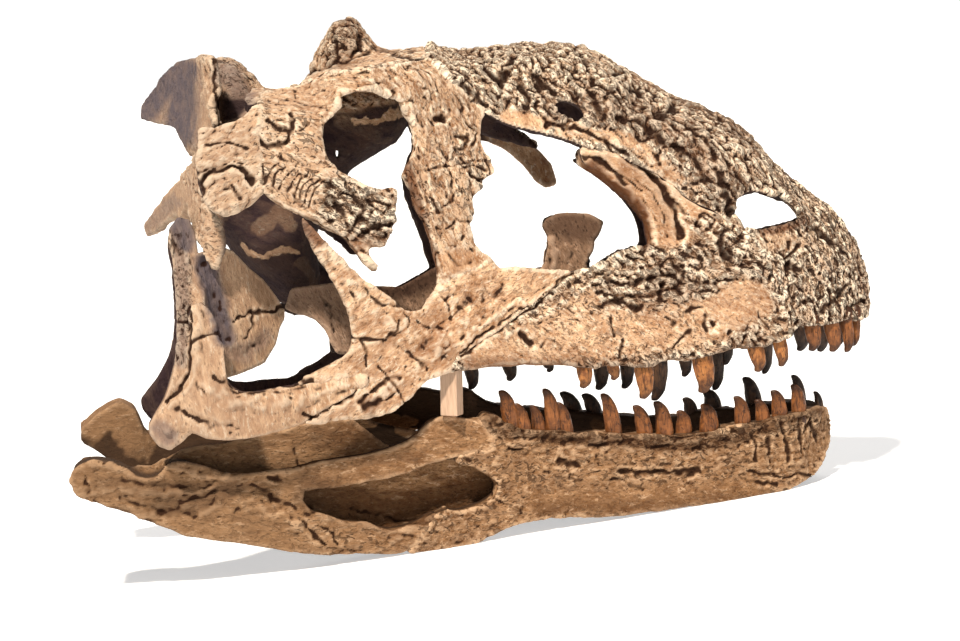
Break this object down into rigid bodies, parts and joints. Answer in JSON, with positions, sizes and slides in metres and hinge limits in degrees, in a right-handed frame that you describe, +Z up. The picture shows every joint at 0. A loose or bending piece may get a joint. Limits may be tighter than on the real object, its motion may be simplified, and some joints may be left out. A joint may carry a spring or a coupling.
{
  "type": "fossil dinosaur skull",
  "caption": "Fossil majungasaurus skull, with a domed horn on its roof, large cheek openings and curved teeth, resting on its lower jaw with its mouth propped a little open.",
  "frame": {"origin": "middle of the bounding box, at the level of what the lower jaw rests on", "axes": "+X towards the nose, +Y to the animal's left, +Z up"},
  "size_m": [0.6934, 0.2772, 0.4374],
  "materials": {
    "bone": "matt, cream to tan, brown in its hollows",
    "tooth": "satin, orange-brown to dark brown enamel",
    "prop": "matt, pale beige"
  },
  "bodies": {
    "root": {"skull_roof": "bone", "nasals": "bone", "premaxilla_R": "bone", "premaxilla_L": "bone", "maxilla_R": "bone", "maxilla_L": "bone", "lacrimal_R": "bone", "lacrimal_L": "bone", "postorbital_R": "bone", "postorbital_L": "bone", "squamosal_R": "bone", "squamosal_L": "bone", "jugal_R": "bone", "jugal_L": "bone", "quadrate_R": "bone", "quadrate_L": "bone", "palate_R": "bone", "palate_L": "bone", "dentary_R": "bone", "dentary_L": "bone", "postdentary_R": "bone", "postdentary_L": "bone", "premaxillary_tooth_R_1": "tooth", "premaxillary_tooth_R_2": "tooth", "premaxillary_tooth_R_3": "tooth", "premaxillary_tooth_R_4": "tooth", "premaxillary_tooth_L_1": "tooth", "premaxillary_tooth_L_2": "tooth", "premaxillary_tooth_L_3": "tooth", "premaxillary_tooth_L_4": "tooth", "maxillary_tooth_R_1": "tooth", "maxillary_tooth_R_2": "tooth", "maxillary_tooth_R_3": "tooth", "maxillary_tooth_R_4": "tooth", "maxillary_tooth_R_5": "tooth", "maxillary_tooth_R_6": "tooth", "maxillary_tooth_L_1": "tooth", "maxillary_tooth_L_2": "tooth", "maxillary_tooth_L_3": "tooth", "maxillary_tooth_L_4": "tooth", "maxillary_tooth_L_5": "tooth", "maxillary_tooth_L_6": "tooth", "maxillary_tooth_L_7": "tooth", "maxillary_tooth_L_8": "tooth", "dentary_tooth_R_1": "tooth", "dentary_tooth_R_2": "tooth", "dentary_tooth_R_3": "tooth", "dentary_tooth_R_4": "tooth", "dentary_tooth_R_5": "tooth", "dentary_tooth_R_6": "tooth", "dentary_tooth_R_7": "tooth", "dentary_tooth_R_8": "tooth", "dentary_tooth_R_9": "tooth", "dentary_tooth_L_1": "tooth", "dentary_tooth_L_2": "tooth", "dentary_tooth_L_3": "tooth", "dentary_tooth_L_4": "tooth", "dentary_tooth_L_5": "tooth", "jaw_prop": "prop"}
  },
  "joints": []
}
